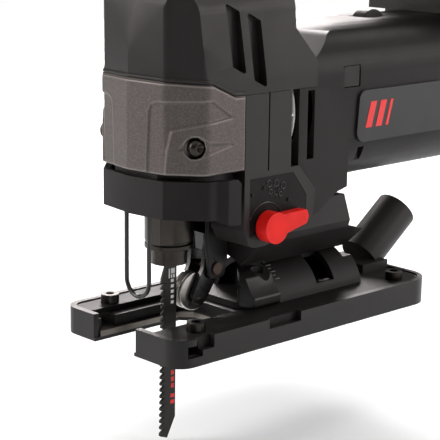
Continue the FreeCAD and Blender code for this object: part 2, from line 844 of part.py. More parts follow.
def make_motor():
    """Rotor with its fan and pinion, stator, brushes and bearings."""
    z = S.motor_z
    shaft = S.shaft_radius
    node("motor_shaft", rod("y", shaft, (0, z), (S.gear_rear + 0.2, 107)))
    pinion_radius = S.pinion_teeth * S.tooth_module / 2
    pinion = toothed_wheel(S.pinion_teeth, pinion_radius - 1.2, pinion_radius + 0.75,
                           (S.gear_front + 0.5, S.gear_rear + 0.2), 0.8, 0.3, 22.5)
    node("pinion", place(pinion, 0, 0, z))

    hub = rod("y", 8, (0, z), (S.fan_front, S.fan_rear))
    disc = rod("y", S.fan_radius, (0, z), (S.fan_rear - 0.9, S.fan_rear))
    ring = cut(rod("y", S.fan_radius, (0, z), (S.fan_front, S.fan_rear)),
               rod("y", S.fan_radius - 1, (0, z), (S.fan_front - 1, S.fan_rear + 1)))
    blades = []
    count = 15
    for index in range(count):
        blade = doc.addObject("Part::Box", "Blade")
        bind(blade, {"Length": S.fan_radius - 8, "Width": S.fan_rear - S.fan_front, "Height": 0.9})
        angle = 360 * index / count
        turn = Rotation(Vector(0, 1, 0), angle)
        start = turn.multVec(Vector(7.5, 0, -0.45))
        blade.Placement = Placement(Vector(start.x, 0, start.z), turn)
        bind(blade, {"Placement.Base.y": S.fan_front, "Placement.Base.z": z + start.z})
        blades.append(blade)
    fan = cut(fuse(hub, disc, ring, *blades), rod("y", shaft, (0, z), (-20, 0)))
    node("fan", fan)

    slots = []
    count = 12
    for index in range(count):
        angle = math.radians(360 * index / count)
        reach = S.armature_radius.value
        slots.append(rod("y", 1.6, (reach * math.sin(angle), z + reach * math.cos(angle)), (20, 75)))
    stack = cut(rod("y", S.armature_radius, (0, z), (24, 72)), *slots)
    windings = [rod("y", S.armature_radius - 4, (0, z), span) for span in ((16, 24), (72, 80))]
    node("armature", cut(fuse(stack, *windings), rod("y", shaft, (0, z), (0, 100))))
    node("commutator", cut(rod("y", 10, (0, z), (82, 93)), rod("y", shaft, (0, z), (70, 100))))

    ring = rod("y", S.stator_radius - 0.05, (0, z), (20, 76))
    air_gap = rod("y", S.armature_radius + 0.5, (0, z), (0, 100))
    dial_step = box((-40, 40), (S.dial_y - 12.5, 90), (z + 18, z + 60))
    node("stator", cut(ring, air_gap, dial_step))
    brushes = [box(x, (84, 91), (z - 3, z + 3)) for x in ((-21.5, -10.3), (10.3, 21.5))]
    node("brush_holders", group(*brushes))
    bearings = {
        "motor_front_bearing": (z, (-24.5, -17.5)),
        "motor_rear_bearing": (z, (98, 106)),
        "gear_bearing": (S.gear_z, (-26.5, -19.5)),
    }
    for label, (height, span) in bearings.items():
        bore = rod("y", shaft + S.running_gap, (0, height), (-60, 120))
        node(label, cut(rod("y", S.bearing_radius, (0, height), span), bore))


def make_reduction():
    """Large gear, its shaft and the crank pin that drives the yoke."""
    radius = S.gear_teeth * S.tooth_module / 2
    span = (S.gear_front, S.gear_rear)
    wheel = toothed_wheel(S.gear_teeth, radius - 1.2, radius + 0.75, span, 0.85, 0.35, 0)
    place(wheel, 0, 0, S.gear_z)
    bore = rod("y", S.shaft_radius, (0, S.gear_z), (-60, 0))
    pin_z = S.gear_z - S.crank_radius
    pin_hole = rod("y", 2.2, (0, pin_z), (-60, 0))
    node("reduction_gear", cut(wheel, bore, pin_hole))
    node("gear_shaft", rod("y", S.shaft_radius, (0, S.gear_z), (S.gear_front, -18.5)))
    pin = fuse(rod("y", S.crank_pin_radius, (0, pin_z), (-46.2, S.gear_front)),
               rod("y", 2.2, (0, pin_z), (S.gear_front, S.gear_rear)))
    node("crank_pin", pin)


# ---------------------------------------------------------------- plunger, clamp, blade, roller


def make_plunger():
    centre = (0, S.blade_y)
    yoke_z = S.gear_z - S.crank_radius
    node("plunger", rod("z", S.plunger_radius, centre, (56.5, S.plunger_top)))
    half = S.crank_pin_radius + S.yoke_slack
    plate = box((-17, 17), (-47, -42.2), (yoke_z - half - 2.6, yoke_z + half + 2.6))
    bridge = box((-7, 7), (-58, -47), (yoke_z - half - 2.6, yoke_z + half + 2.6))
    reach = S.crank_radius + S.crank_pin_radius + 0.4
    slot = box((-reach, reach), (-50.2, -40), (yoke_z - half, yoke_z + half))
    bore = rod("z", S.plunger_radius, centre, (90, 150))
    node("yoke", cut(fuse(plate, bridge), slot, bore))

    for label, span in (("lower_bush", (88, 98)), ("upper_bush", (149, 157))):
        bush = cut(rod("z", 9, centre, span), rod("z", S.plunger_radius + S.running_gap, centre, (80, 170)))
        node(label, bush)

    shank_slot = box((-S.blade_half_thickness, S.blade_half_thickness), (-59, S.blade_back), (20, 56))
    lower = rod("z", S.lower_collar_radius, centre, (S.clamp_bottom, S.collar_step))
    sleeve = rod("z", 6.5, centre, (S.collar_step, 56.5))
    node("clamp_holder", cut(fuse(lower, sleeve), shank_slot))
    drum = rod("z", S.upper_collar_radius, centre, (S.collar_step + 0.2, S.collar_top))
    lug = box((3.4, 9.4), (S.blade_y - 13.2, S.blade_y - 5), (46, 58))
    groove = cut(rod("z", 12, centre, (44.4, 45.6)), rod("z", 10.2, centre, (44, 46)))
    sleeve_bore = rod("z", 6.5 + S.running_gap, centre, (40, 56.7))
    plunger_bore = rod("z", S.plunger_radius + S.running_gap, centre, (50, 70))
    node("clamp_collar", cut(fuse(drum, lug), groove, sleeve_bore, plunger_bore))


def make_blade():
    """Flat blade with a row of teeth along its front edge and its shank in the clamp."""
    tips, back, bottom = S.tooth_tips, S.blade_back, S.blade_bottom
    shank = [
        (back, 55.9),
        (-57, 55.9),
        (-57, 33),
        (tips, 28),
        (tips - 0.7, bottom + 1.5),
        (back - 5.6, bottom),
        (back - 0.8, bottom + 9.5),
    ]
    thickness = (-S.blade_half_thickness + 0.02, S.blade_half_thickness - 0.02)
    notches = []
    pitch = S.tooth_pitch
    for index in range(24):
        top = 26 - pitch * index
        tip = tips - (28 - top) * 0.0094
        notch = [(tip - 1, top), (tip + S.tooth_depth, top - 0.5), (tip - 1, top - pitch + 0.2)]
        notches.append(prism("YZ", notch, (-2, 2)))
    node("saw_blade", cut(prism("YZ", shank, thickness), *notches))


def make_roller():
    y, z = S.roller_y, S.roller_z
    pivot = (S.fork_pivot_y, S.fork_pivot_z)
    wide = S.roller_half_width
    wheel = rod("x", S.roller_radius, (y, z), (-wide, wide))
    groove = cut(rod("x", 12, (y, z), (-1.1, 1.1)), rod("x", S.roller_radius - 1.6, (y, z), (-2, 2)))
    bore = rod("x", 2.5 + S.running_gap, (y, z), (-9, 9))
    node("guide_roller", cut(wheel, groove, bore))
    node("roller_axle", rod("x", 2.5, (y, z), (-wide - 2.7, wide + 2.7)))

    inner, outer = wide + 0.3, wide + 2.7
    outline = [(-46, 17), (-42, 13.8), (-37, 15.5), (-29, 27), (-28.6, 33), (-31, 46), (-37, 46), (-38.5, 31)]
    cheek = prism("YZ", outline, (inner, outer), {0: 3, 1: 2, 2: 3})
    other = mirror_of(cheek)
    bridge = box((-inner - 0.5, inner + 0.5), (-36.5, -31.5), (38, 46))
    holes = [rod("x", 2.5, (y, z), (-9, 9)), rod("x", 2 + S.running_gap, pivot, (-9, 9))]
    node("roller_fork", cut(fuse(cheek, other, bridge), *holes))

    plate_view = [(-37, 25), (-28, 25), (-26, 33), (-26, 58), (-38, 58), (-39, 43)]
    plate = prism("YZ", plate_view, (outer + 0.3, outer + 2.3), {0: 3, 1: 3})
    twin = mirror_of(plate)
    tie = box((-outer - 0.5, outer + 0.5), (-36, -28), (54, 58))
    node("roller_hanger", cut(fuse(plate, twin, tie), rod("x", 2, pivot, (-12, 12))))
    pin_head = rod("x", 2.8, pivot, (outer + 2.3, outer + 3.3))
    node("fork_pin", fuse(rod("x", 2, pivot, (-outer - 3, outer + 3)), pin_head))
    holder = box((-11.9, 11.9), (S.cover_rear + S.seam + 1, -24.1), (58, 65.9))
    node("hanger_block", holder)


def make_orbit_selector():
    """Plate with raised marks and the lever that sets the roller's swing."""
    outer = S.half_width - 0.1
    y, z = S.orbit_y, S.orbit_z
    plate = prism("YZ", selector_outline(), (S.half_width - 1.5, outer))
    marks = [rod("x", 0.9, (y + 17 * math.cos(a), z + 17 * math.sin(a)), (outer - 0.1, outer + 0.5))
             for a in (math.radians(step) for step in (35, 65, 95, 120))]
    hole = rod("x", 2.5 + S.running_gap, (y, z), (20, 50))
    node("selector_plate", cut(fuse(plate, *marks), hole))
    arm_view = [
        (y - 5, z - 3.6),
        (y + 6, z - 4.2),
        (-6.5, z - 1),
        (-5.2, z + 2),
        (-6.5, z + 5.4),
        (y - 2, z + 5),
    ]
    arm = prism("YZ", arm_view, (outer + 0.9, outer + 5.5), {2: 1.2, 4: 1.2})
    hub = rod("x", 7, (y, z), (outer + 0.9, outer + 7.4))
    stem = rod("x", 2.5, (y, z), (26, outer + 3))
    node("orbit_lever", fuse(arm, hub, stem))


def add_soft_grips():
    """Overmoulded skins on the handle and on top of the motor barrel."""
    width = S.handle_half_width
    view = [(16, 180), (90, 180), (96, 190), (80, 194.5), (20, 194.5), (10, 186)]
    skin = prism("YZ", view, (width, width + 1.4), {corner: 5 for corner in range(6)})
    skin = cut(skin, rod("x", 6.2, (26, 187), (0, 40)))
    node("grip_left", skin)
    node("grip_right", mirror_of(skin))


# ---------------------------------------------------------------- build, check, write


make_base()
make_base_lock()
make_dust_outlet()
make_head()
make_gearbox_cover()
make_gear_case()
make_nose()
make_blade_lever()
make_motor_housing()
make_keel()
make_handle_parts()
make_motor()
make_reduction()
make_plunger()
make_blade()
make_roller()
make_orbit_selector()
add_soft_grips()
doc.recompute()

faults = [f"{item.Name} ({item.Label}): {item.State}" for item in doc.Objects
          if {"Invalid", "Error"} & set(item.State)]
for label, item in NODES.items():
    if item.Shape.isNull() or not item.Shape.isValid() or not item.Shape.Solids:
        faults.append(f"{label}: shape is empty or not valid")
if faults:
    raise RuntimeError("\n".join(faults))

os.makedirs("parts", exist_ok=True)
for label, item in NODES.items():
    item.Shape.exportStep(f"parts/{label}.step")
    print(f"{label}: {len(item.Shape.Solids)} solid(s), {item.Shape.Volume / 1000:.2f} cm3")
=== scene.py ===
import json
import math

import bmesh
import bpy
from mathutils import Matrix, Vector


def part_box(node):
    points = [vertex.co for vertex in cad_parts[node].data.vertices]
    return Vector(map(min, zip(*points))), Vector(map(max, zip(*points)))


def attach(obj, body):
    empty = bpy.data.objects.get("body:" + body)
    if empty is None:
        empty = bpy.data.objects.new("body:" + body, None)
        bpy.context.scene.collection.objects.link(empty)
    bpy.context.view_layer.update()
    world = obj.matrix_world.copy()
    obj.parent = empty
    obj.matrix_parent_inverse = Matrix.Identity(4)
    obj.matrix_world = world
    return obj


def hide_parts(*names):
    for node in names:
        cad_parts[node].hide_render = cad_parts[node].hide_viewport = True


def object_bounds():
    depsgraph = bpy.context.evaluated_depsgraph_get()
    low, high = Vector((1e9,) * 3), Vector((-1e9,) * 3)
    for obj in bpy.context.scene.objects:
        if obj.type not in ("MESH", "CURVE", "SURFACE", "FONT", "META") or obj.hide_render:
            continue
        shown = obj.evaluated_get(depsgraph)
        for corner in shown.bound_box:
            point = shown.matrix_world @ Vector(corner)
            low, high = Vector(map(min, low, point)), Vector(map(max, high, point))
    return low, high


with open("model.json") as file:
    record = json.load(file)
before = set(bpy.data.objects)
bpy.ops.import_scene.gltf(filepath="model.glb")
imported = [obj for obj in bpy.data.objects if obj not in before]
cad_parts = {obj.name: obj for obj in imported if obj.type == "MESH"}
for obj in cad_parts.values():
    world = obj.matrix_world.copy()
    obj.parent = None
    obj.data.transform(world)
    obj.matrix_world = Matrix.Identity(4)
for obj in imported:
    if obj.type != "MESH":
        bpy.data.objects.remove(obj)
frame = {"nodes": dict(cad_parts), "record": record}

CAD_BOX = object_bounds()
NODES = frame["nodes"]
MM = 0.001
GRAIN_DEPTH = 0.00006
SHARP_EDGE = math.radians(32)


# ------------------------------------------------------------------ materials


def new_material(name):
    """A node material with its Principled shader."""
    material = bpy.data.materials.new(name)
    material.use_nodes = True
    shader = material.node_tree.nodes["Principled BSDF"]
    return material, material.node_tree, shader


def add_node(tree, kind, **values):
    """A node whose named inputs or attributes are set."""
    node = tree.nodes.new(kind)
    for key, value in values.items():
        if key in node.inputs:
            node.inputs[key].default_value = value
        else:
            setattr(node, key, value)
    return node


def noise(tree, scale, detail=3.0, rough=0.5):
    """Noise in the object's own metres, so that its scale is real."""
    place = add_node(tree, "ShaderNodeTexCoord")
    texture = add_node(tree, "ShaderNodeTexNoise", Scale=scale, Detail=detail, Roughness=rough)
    tree.links.new(place.outputs["Object"], texture.inputs["Vector"])
    return texture.outputs["Fac"]


def cells(tree, scale, feature="F1"):
    """Cell texture in the object's own metres."""
    place = add_node(tree, "ShaderNodeTexCoord")
    texture = add_node(tree, "ShaderNodeTexVoronoi", Scale=scale, feature=feature)
    tree.links.new(place.outputs["Object"], texture.inputs["Vector"])
    return texture


def ramp(tree, source, stops):
    """Colour ramp; stops are (place, colour) pairs."""
    node = add_node(tree, "ShaderNodeValToRGB")
    elements = node.color_ramp.elements
    while len(elements) < len(stops):
        elements.new(0.5)
    for element, (place, colour) in zip(elements, stops):
        element.position = place
        element.color = (*colour, 1)
    tree.links.new(source, node.inputs["Fac"])
    return node.outputs["Color"]


def value_range(tree, source, low, high):
    """A 0 to 1 value stretched to low to high."""
    node = add_node(tree, "ShaderNodeMapRange")
    node.inputs["To Min"].default_value = low
    node.inputs["To Max"].default_value = high
    tree.links.new(source, node.inputs["Value"])
    return node.outputs["Result"]


def bump(tree, shader, sources, strength, distance):
    """Bump from one or more height sources, one on top of the other."""
    normal = None
    for source, amount in zip(sources, strength):
        node = add_node(tree, "ShaderNodeBump", Strength=amount, Distance=distance)
        tree.links.new(source, node.inputs["Height"])
        if normal:
            tree.links.new(normal, node.inputs["Normal"])
        normal = node.outputs["Normal"]
    tree.links.new(normal, shader.inputs["Normal"])


def moulded(name, colour, rough, grain=0.25, grain_scale=2600, specular=0.35, worn=1.6):
    """Moulded plastic: fine spark-eroded grain, slight flow mottling, edges rubbed lighter."""
    material, tree, shader = new_material(name)
    dark = tuple(c * 0.8 for c in colour)
    light = tuple(min(1, c * 1.25) for c in colour)
    body = ramp(tree, noise(tree, 60, 4), [(0.3, dark), (0.7, light)])
    edges = add_node(tree, "ShaderNodeNewGeometry")
    lighter_edges = ramp(tree, edges.outputs["Pointiness"], [(0.515, (0, 0, 0)), (0.56, (1, 1, 1))])
    blend = add_node(tree, "ShaderNodeMix", data_type="RGBA")
    tree.links.new(lighter_edges, blend.inputs["Factor"])
    tree.links.new(body, blend.inputs[6])
    blend.inputs[7].default_value = (*[min(1, c * worn) for c in colour], 1)
    tree.links.new(blend.outputs[2], shader.inputs["Base Color"])
    sheen = value_range(tree, noise(tree, 110, 5), rough - 0.06, rough + 0.07)
    tree.links.new(sheen, shader.inputs["Roughness"])
    shader.inputs["Specular IOR Level"].default_value = specular
    grains = cells(tree, grain_scale)
    heights = [grains.outputs["Distance"], noise(tree, grain_scale * 1.7, 2)]
    bump(tree, shader, heights, (grain, grain * 0.7), GRAIN_DEPTH)
    return material


def metal(name, colour, rough, streak=(1, 1, 1), scratch=0.15, mottle=0.15, metallic=1.0):
    """Metal with fine machining lines along one direction and a soft oxide mottling."""
    material, tree, shader = new_material(name)
    shader.inputs["Metallic"].default_value = metallic
    place = add_node(tree, "ShaderNodeTexCoord")
    stretch = add_node(tree, "ShaderNodeMapping")
    stretch.inputs["Scale"].default_value = streak
    tree.links.new(place.outputs["Object"], stretch.inputs["Vector"])
    lines = add_node(tree, "ShaderNodeTexNoise", Scale=900, Detail=4)
    tree.links.new(stretch.outputs["Vector"], lines.inputs["Vector"])
    dark = tuple(c * (1 - mottle) for c in colour)
    light = tuple(min(1, c * (1 + mottle)) for c in colour)
    tint = ramp(tree, noise(tree, 140, 5), [(0.3, dark), (0.7, light)])
    tree.links.new(tint, shader.inputs["Base Color"])
    sheen = value_range(tree, lines.outputs["Fac"], rough - 0.08, rough + 0.1)
    tree.links.new(sheen, shader.inputs["Roughness"])
    bump(tree, shader, [lines.outputs["Fac"]], (scratch,), 0.00004)
    return material


def speckled_paint(name):
    """Warm grey metallic paint over a textured casting, with light flakes and lighter convex edges, partly
    rubbed wear and partly a painted highlight.
    """
    material, tree, shader = new_material(name)
    shader.inputs["Metallic"].default_value = 0.5
    flakes = cells(tree, 3600)
    stops = [(0.1, (0.070, 0.058, 0.054)), (0.6, (0.092, 0.078, 0.073)), (0.95, (0.15, 0.132, 0.125))]
    paint = ramp(tree, flakes.outputs["Color"], stops)
    # Convex edges are painted lighter, towards (0.19, 0.17, 0.16): partly rubbed paint wear, partly a painted
    # highlight standing in for the bright bevel edge of the cover.
    edges = add_node(tree, "ShaderNodeNewGeometry")
    lighter_edges = ramp(tree, edges.outputs["Pointiness"], [(0.508, (0, 0, 0)), (0.54, (1, 1, 1))])
    blend = add_node(tree, "ShaderNodeMix", data_type="RGBA")
    tree.links.new(lighter_edges, blend.inputs["Factor"])
    tree.links.new(paint, blend.inputs[6])
    blend.inputs[7].default_value = (0.19, 0.17, 0.16, 1)
    tree.links.new(blend.outputs[2], shader.inputs["Base Color"])
    tree.links.new(value_range(tree, noise(tree, 300, 4), 0.42, 0.54), shader.inputs["Roughness"])
    shader.inputs["Specular IOR Level"].default_value = 0.35
    heights = [flakes.outputs["Distance"], noise(tree, 1500, 3)]
    bump(tree, shader, heights, (0.2, 0.2), GRAIN_DEPTH)
    return material


def make_materials():
    black = (0.0122, 0.0102, 0.0100)
    return {
        "housing_black": moulded("housing_black", black, 0.44, 0.3, 1900, 0.24),
        "cover_silver": speckled_paint("cover_silver"),
        "grip_rubber": moulded("grip_rubber", (0.007, 0.007, 0.007), 0.65, 0.5, 1300, 0.2),
        "lever_grey": moulded("lever_grey", (0.0125, 0.0112, 0.0108), 0.42, 0.3, 2100, 0.24),
        "lever_red": moulded("lever_red", (0.68, 0.012, 0.009), 0.42, 0.05, 2500, 0.16, 1.05),
        "lever_black": moulded("lever_black", (0.006, 0.006, 0.006), 0.24, 0.05, 2500, 0.5),
        "shoe_black": moulded("shoe_black", (0.0090, 0.0078, 0.0076), 0.40, 0.25, 1700, 0.26),
        "steel_bright": metal("steel_bright", (0.50, 0.48, 0.45), 0.27, (1, 6, 6)),
        "steel_dark": metal("steel_dark", (0.040, 0.036, 0.032), 0.33, (6, 6, 1)),
        "blade_black": metal("blade_black", (0.018, 0.017, 0.016), 0.4, (4, 1, 6), 0.1, 0.2, 0.4),
        "casting_black": moulded("casting_black", (0.0085, 0.008, 0.0078), 0.5, 0.4, 1500, 0.18),
        "aluminium_inner": metal("aluminium_inner", (0.45, 0.45, 0.44), 0.42),
        "copper": metal("copper", (0.42, 0.19, 0.10), 0.35),
        "bronze": metal("bronze", (0.42, 0.27, 0.11), 0.4),
        "sole_steel": metal("sole_steel", (0.16, 0.145, 0.13), 0.36, (1, 6, 6)),
        "rivet_brown": metal("rivet_brown", (0.075, 0.055, 0.045), 0.45),
        "badge": moulded("badge", (0.012, 0.012, 0.012), 0.34, 0.1, 2400, 0.35),
        "selector_black": moulded("selector_black", (0.0060, 0.0048, 0.0047), 0.46, 0.2, 2300, 0.12),
        "band_black": moulded("band_black", (0.0080, 0.0068, 0.0066), 0.45, 0.25, 2100, 0.17),
        "guard_wire": moulded("guard_wire", (0.006, 0.006, 0.006), 0.3, 0.05, 2500, 0.5),
        # Fan blades: their light grey is raised to 0.8, near white, as painted light standing in for the
        # light that reaches them inside the housing through the side slots.
        "fan_painted_light_grey": moulded("fan_painted_light_grey", (0.8, 0.8, 0.78), 0.4, 0.1, 2500, 0.5, 1.1),
        "print_white": moulded("print_white", (0.75, 0.75, 0.73), 0.45, 0.1, 3000, 0.4, 1.0),
        "print_red": moulded("print_red", (0.75, 0.03, 0.03), 0.45, 0.1, 3000, 0.4, 1.0),
        "print_grey": moulded("print_grey", (0.16, 0.155, 0.15), 0.5, 0.1, 3000, 0.4, 1.0),
    }


FINISH = {
    "finger_guard": "guard_wire",
    "sole_plate": "sole_steel",
    "fork_pin": "rivet_brown",
    "roller_axle": "lever_black",
    "roller_fork": "lever_black",
    "roller_hanger": "lever_grey",
    "hanger_block": "casting_black",
    "base_lock_lever": "shoe_black",
    "selector_plate": "selector_black",
    "blade_change_lever": "band_black",
    "motor_housing_left": "band_black",
    "motor_housing_right": "band_black",
}


def dress(materials):
    """Gives every carried-over node its slot's material, softened edges and clean shading."""
    slots = {part["node"]: part["material_slot"] for part in frame["record"]["subparts"]}
    for name, item in NODES.items():
        item.data.materials.clear()
        item.data.materials.append(materials[FINISH.get(name, slots[name])])
        lowest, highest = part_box(name)
        thinnest = min(highest - lowest)
        weld = item.modifiers.new("weld", "WELD")
        weld.merge_threshold = 0.000004
        edge = item.modifiers.new("edges", "BEVEL")
        edge.width = min(0.0006, thinnest * 0.12)
        edge.segments = 3
        edge.limit_method = "ANGLE"
        edge.angle_limit = SHARP_EDGE
        edge.use_clamp_overlap = True
        shade = item.modifiers.new("shading", "WEIGHTED_NORMAL")
        shade.mode = "FACE_AREA_WITH_ANGLE"
        shade.weight = 90
        shade.keep_sharp = True
        for face in item.data.polygons:
            face.use_smooth = True


# ------------------------------------------------------------------ detail pieces


def new_piece(name, body, slot, material, verts, faces, smooth=True, soften=0.0, stands_for=()):
    """A mesh piece in millimetres that rides on a body and wears the given material; the slot argument is not
    used.
    """
    mesh = bpy.data.meshes.new(name)
    mesh.from_pydata([Vector(v) * MM for v in verts], [], faces)
    made = bmesh.new()
    made.from_mesh(mesh)
    bmesh.ops.recalc_face_normals(made, faces=made.faces)
    made.to_mesh(mesh)
    made.free()
    mesh.materials.append(material)
    piece = bpy.data.objects.new(name, mesh)
    bpy.context.scene.collection.objects.link(piece)
    for face in mesh.polygons:
        face.use_smooth = smooth
    if soften:
        edge = piece.modifiers.new("edges", "BEVEL")
        edge.width = soften * MM
        edge.segments = 3
        edge.limit_method = "ANGLE"
        edge.angle_limit = SHARP_EDGE
        shade = piece.modifiers.new("shading", "WEIGHTED_NORMAL")
        shade.keep_sharp = True
    if stands_for:
        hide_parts(*stands_for)
    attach(piece, body)
    return piece


def rounded_path(points, radii, step):
    """Points along an open plan outline whose corners are arcs, with the outward direction at each."""
    dense = []
    for index, point in enumerate(points):
        here = Vector(point)
        radius = radii.get(index, 0)
        if not radius:
            dense.append(here)
            continue
        back = (Vector(points[index - 1]) - here).normalized()
        ahead = (Vector(points[index + 1]) - here).normalized()
        half = back.angle(ahead) / 2
        reach = radius / math.tan(half)
        centre = here + (back + ahead).normalized() * radius / math.sin(half)
        start, end = here + back * reach - centre, here + ahead * reach - centre
        sweep = start.angle_signed(end)
        for k in range(9):
            turned = start.copy()
            turned.rotate(Matrix.Rotation(-sweep * k / 8, 2))
            dense.append(centre + turned)
    fine = [dense[0]]
    for a, b in zip(dense[:-1], dense[1:]):
        parts = max(1, math.ceil((b - a).length / step))
        fine.extend(a.lerp(b, k / parts) for k in range(1, parts + 1))
    outward = []
    for index in range(len(fine)):
        along = fine[min(index + 1, len(fine) - 1)] - fine[max(index - 1, 0)]
        outward.append(Vector((along.y, -along.x)).normalized())
    return fine, outward


def inside_distance(polygon, x, y):
    """Distance from a point to a polygon's edge, positive inside it."""
    best = 1e9
    inside = False
    for (ax, ay), (bx, by) in zip(polygon, polygon[1:] + polygon[:1]):
        dx, dy = bx - ax, by - ay
        t = max(0, min(1, ((x - ax) * dx + (y - ay) * dy) / (dx * dx + dy * dy)))
        best = min(best, math.hypot(x - ax - t * dx, y - ay - t * dy))
        if (ay > y) != (by > y) and x < (bx - ax) * (y - ay) / (by - ay) + ax:
            inside = not inside
    return best if inside else -best


def ease(value, low, high):
    """0 below low, 1 above high, a straight slope between."""
    return max(0.0, min(1.0, (value - low) / (high - low)))


COVER_CHANNEL = [
    (10.5, 78), (11, 90), (11.8, 106.8), (13, 109.8), (16.5, 111.2), (41, 111.9), (53.5, 103.6),
    (37.5, 101.9), (23.4, 98.7), (21.6, 90), (20.6, 78),
]
SCREW_POCKET = [
    (26, 91.2), (31, 97.2), (35.2, 97.2), (39.2, 94.6),
    (52.5, 93.2), (52.5, 91.8), (39.2, 89), (34.5, 87.4),
]
COVER_PROUD = 1.0
COVER_FOOT = 80.1
LONG_SIDE = 60.3
SCREW_ALONG = 33.3
SCREW_HEIGHT = 92
HEAD_CORNERS = {1: 6, 2: 4, 4: 4, 5: 6}


def head_plan(rear):
    """Plan of the head's nose from one flat side round to the other; rear is where the sides end."""
    left = [(-33.3, rear), (-33.3, -63.5), (-20, -74.8), (0, -78)]
    return left + [(-x, y) for x, y in reversed(left[:-1])]


def cover_height(along, height):
    """How far the silver cover's face stands from the casting behind it."""
    channel = ease(inside_distance(COVER_CHANNEL, along, height), 0.0, 1.0)
    pocket = ease(inside_distance(SCREW_POCKET, along, height), 0.0, 1.6)
    return max(0.06, COVER_PROUD - 0.85 * channel - 0.9 * pocket)


def cover_top(y):
    """Height of the cover's top edge beside the head's lip."""
    if y < -60:
        return 119.4 - (y + 78) * 1.3 / 18
    if y < -47:
        return 118.1 - (y + 60) * 6.0 / 13
    return 112.1


def make_cover_face(materials):
    """The cover's visible face: raised skin with a bevelled channel and a screw pocket on each side."""
    path, outward = rounded_path(head_plan(-40.8), HEAD_CORNERS, 0.45)
    lengths = [0.0]
    for a, b in zip(path[:-1], path[1:]):
        lengths.append(lengths[-1] + (b - a).length)
    middle = lengths[-1] / 2
    scale = LONG_SIDE / middle
    rows = 84
    verts, faces = [], []
    for point, away, length in zip(path, outward, lengths):
        along = abs(length - middle) * scale
        top = cover_top(point.y)
        edge_end = ease(along, 60.3, 59.5)
        for row in range(rows + 1):
            height = COVER_FOOT + (top - COVER_FOOT) * row / rows
            rim = min(height - COVER_FOOT, top - height)
            rolled = math.sqrt(1 - (1 - ease(rim, -0.05, 0.8)) ** 2)
            lift = cover_height(along, height) * rolled * max(0.1, edge_end)
            verts.append((point.x + away.x * lift, point.y + away.y * lift, height))
    columns = len(path)
    for column in range(columns - 1):
        for row in range(rows):
            a = column * (rows + 1) + row
            along = abs((lengths[column] + lengths[column + 1]) / 2 - middle) * scale
            height = (verts[a][2] + verts[a + 1][2]) / 2
            if math.hypot(along - SCREW_ALONG, height - SCREW_HEIGHT) < 4.6:
                continue
            faces.append((a, a + rows + 1, a + rows + 2, a + 1))
    face = new_piece("cover_face", "tool", "cover_silver", materials["cover_silver"], verts, faces)
    wall = face.modifiers.new("wall", "SOLIDIFY")
    wall.thickness = 0.5 * MM
    wall.offset = -1
    return face


def make_print_marks(materials):
    """Generic print on the blade: a light square and bars above, red bars near the tip."""
    def bars(name, material, spots):
        verts, faces = [], []
        for y0, z0, y1, z1 in spots:
            for x in (0.78, -0.78):
                start = len(verts)
                verts.extend([(x, y0, z0), (x, y1, z0), (x, y1, z1), (x, y0, z1)])
                faces.append(tuple(range(start, start + 4)))
        finish = materials[material]
        piece = new_piece(name, "plunger", "blade_black", finish, verts, faces, smooth=False)
        wall = piece.modifiers.new("wall", "SOLIDIFY")
        wall.thickness = 0.05 * MM

    light = [
        (-55.2, 27.6, -54.5, 32),
        (-53.9, 29.6, -51.6, 32),
        (-53.9, 27.6, -53.1, 29.2),
        (-52.6, 27.6, -51.6, 29.2),
    ]
    light += [(-53.9, 25.6 - k * 2.5, -52.2, 27 - k * 2.5) for k in range(5)]
    bars("blade_print_light", "print_white", light)
    red = [(-53.6, -12 - k * 3.1, -51.8, -9.9 - k * 3.1) for k in range(5)]
    red += [(-53.9, -29, -51.5, -27.2), (-53.9, -32, -51.5, -30.2)]
    bars("blade_print_red", "print_red", red)


def make_fan(materials):
    """Cooling fan behind the side slots: hub, back disc and curved blades."""
    low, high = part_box("fan")
    front, rear = low.y / MM, high.y / MM
    outer = (high.x - low.x) / 2 / MM
    centre = (low.z + high.z) / 2 / MM
    verts, faces = [], []

    def ring(y, radius, count=96):
        start = len(verts)
        for k in range(count):
            turn = 2 * math.pi * k / count
            verts.append((radius * math.sin(turn), y, centre + radius * math.cos(turn)))
        return start

    def band(a, b, count=96):
        for k in range(count):
            n = (k + 1) % count
            faces.append((a + k, a + n, b + n, b + k))

    bore, hub, root = 4.1, 9, 10
    disc = rear - 0.9
    profile = [(rear, bore), (rear, outer), (disc, outer), (disc, root), (front, hub), (front, bore)]
    rings = [ring(y, radius) for y, radius in profile]
    for a, b in zip(rings, rings[1:] + rings[:1]):
        band(a, b)
    blades = 26
    for blade in range(blades):
        turn = 2 * math.pi * blade / blades
        start = len(verts)
        for k in range(7):
            radius = root + (outer - root - 0.3) * k / 6
            bend = turn + 0.38 * (k / 6) ** 1.6
            for side in (-0.55, 0.55):
                angle = bend + side / radius
                for y in (front + 0.05, rear - 0.7):
                    verts.append((radius * math.sin(angle), y, centre + radius * math.cos(angle)))
        for k in range(6):
            a = start + 4 * k
            b = a + 4
            faces.extend([(a, b, b + 1, a + 1), (a + 2, a + 3, b + 3, b + 2)])
            faces.extend([(a, a + 2, b + 2, b), (a + 1, b + 1, b + 3, a + 3)])
        faces.append((start, start + 1, start + 3, start + 2))
        last = start + 24
        faces.append((last, last + 2, last + 3, last + 1))
    # The fan's near-white grey is painted light, for the light falling through the side slots onto blades
    # that sit in shade.
    finish = materials["fan_painted_light_grey"]
    new_piece("fan_blades", "rotor", "lever_grey", finish, verts, faces, soften=0.1, stands_for=("fan",))


